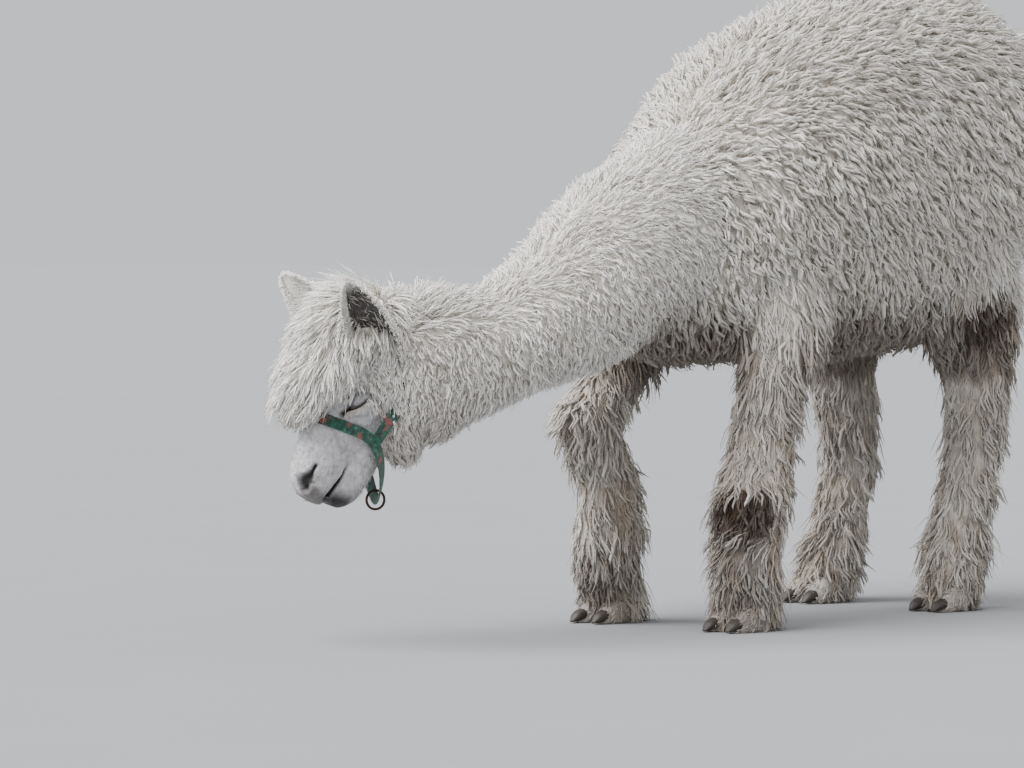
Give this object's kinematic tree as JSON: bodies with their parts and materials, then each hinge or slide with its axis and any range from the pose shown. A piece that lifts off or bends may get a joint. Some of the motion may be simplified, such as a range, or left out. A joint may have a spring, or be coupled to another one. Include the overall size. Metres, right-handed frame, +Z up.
{
  "type": "alpaca, huacaya, standing and grazing",
  "caption": "Life-size still model of a white huacaya alpaca in full fleece, standing on four feet with its head lowered to graze, wearing a webbing halter.",
  "frame": {"origin": "on the floor, under the middle of the model's bounding box", "axes": "+Z up, -Y the way the body faces, +X to the animal's left"},
  "size_m": [0.5056, 1.4858, 0.9427],
  "materials": {
    "fleece": "matt crimped wool",
    "ear_skin": "matt skin under short hair",
    "eye_dark": "wet gloss",
    "nail_horn": "dull horn",
    "webbing": "woven webbing",
    "dark_metal": "tarnished"
  },
  "bodies": {
    "root": {"torso": "fleece", "neck": "fleece", "tail": "fleece", "head": "fleece", "leg_front_left": "fleece", "leg_front_right": "fleece", "leg_hind_left": "fleece", "leg_hind_right": "fleece", "ear_left": "ear_skin", "ear_right": "ear_skin", "eye_left": "eye_dark", "eye_right": "eye_dark", "nail_front_left_left": "nail_horn", "nail_front_left_right": "nail_horn", "nail_front_right_left": "nail_horn", "nail_front_right_right": "nail_horn", "nail_hind_left_left": "nail_horn", "nail_hind_left_right": "nail_horn", "nail_hind_right_left": "nail_horn", "nail_hind_right_right": "nail_horn", "halter": "webbing", "halter_ring": "dark_metal"}
  },
  "joints": []
}
